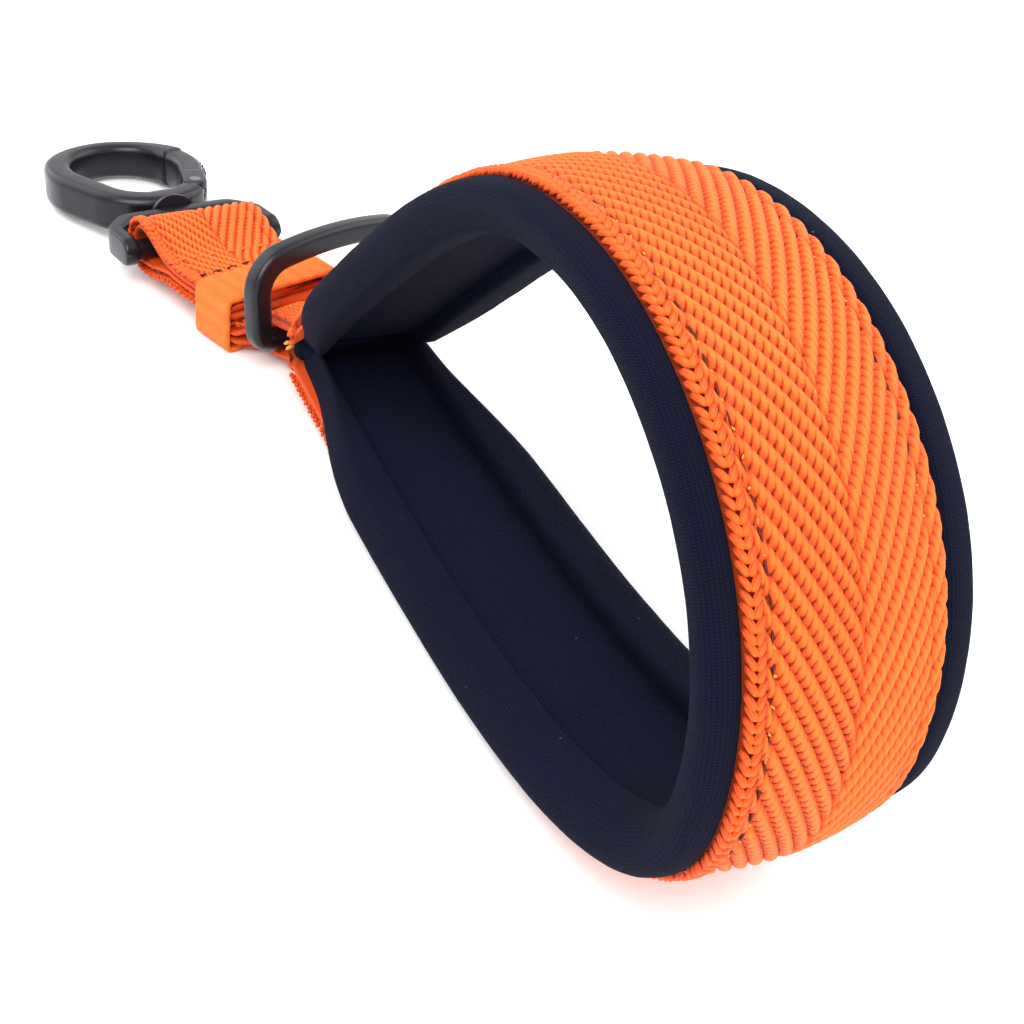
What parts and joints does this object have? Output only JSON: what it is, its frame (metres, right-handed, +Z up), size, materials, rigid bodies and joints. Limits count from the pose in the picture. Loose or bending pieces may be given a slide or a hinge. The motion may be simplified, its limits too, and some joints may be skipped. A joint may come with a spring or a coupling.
{
  "type": "short traffic lead",
  "caption": "Short padded pet lead: webbing handle loop with cushioned lining, D-ring, sewn tab and swivel snap hook.",
  "frame": {"origin": "on the table, under the middle of the whole object's box; the handle loop stands on its lower arm and the hook lies on the same table", "axes": "+X from the snap hook towards the handle loop's far end, +Y across the strap, +Z up"},
  "size_m": [0.2312, 0.0591, 0.0738],
  "materials": {
    "orange_webbing": "woven herringbone",
    "neoprene": "knit-faced neoprene",
    "thread": "bonded sewing thread",
    "black_metal": "satin gunmetal coating",
    "pin_steel": "dark plated steel",
    "spring_steel": "drawn wire"
  },
  "bodies": {
    "lead": {"handle_webbing": "orange_webbing", "handle_tails": "orange_webbing", "pad_centre_panel": "neoprene", "near_edge_roll": "neoprene", "far_edge_roll": "neoprene", "near_seam_stitches": "thread", "far_seam_stitches": "thread", "joint_bartack": "thread", "thread_end": "thread", "tab_webbing": "orange_webbing", "keeper_sleeve": "orange_webbing", "tab_stitches": "thread", "fold_stitches": "thread"},
    "ring": {"d_ring": "black_metal"},
    "bail": {"swivel_bail": "black_metal", "bail_bar": "pin_steel"},
    "hook": {"hook_body": "black_metal", "swivel_rivet": "pin_steel", "swivel_washer": "pin_steel", "gate_pin": "pin_steel", "gate_spring": "spring_steel"},
    "gate": {"gate": "black_metal"}
  },
  "joints": [
    {"name": "ring_tilt", "type": "hinge", "parent": "lead", "child": "ring", "pos_m": [-0.02913, 0.01035, 0.0058], "axis": [0.342, -0.9397, 0], "range_deg": [-35, 34]},
    {"name": "bail_tilt", "type": "hinge", "parent": "lead", "child": "bail", "pos_m": [-0.06347, -0.00588, 0.0076], "axis": [-0.1908, 0.9816, 0], "range_deg": [-110, 110]},
    {"name": "hook_swivel", "type": "hinge", "parent": "bail", "child": "hook", "pos_m": [-0.07327, -0.00779, 0.00696], "axis": [-0.9796, -0.1904, -0.0645], "continuous": true},
    {"name": "gate_swing", "type": "hinge", "parent": "hook", "child": "gate", "pos_m": [-0.08668, -0.00051, 0.00619], "axis": [-0.0633, -0.0123, 0.9979], "range_deg": [0, 28], "stiffness_Nm_per_rad": 0.05, "springref_deg": -14.32}
  ]
}
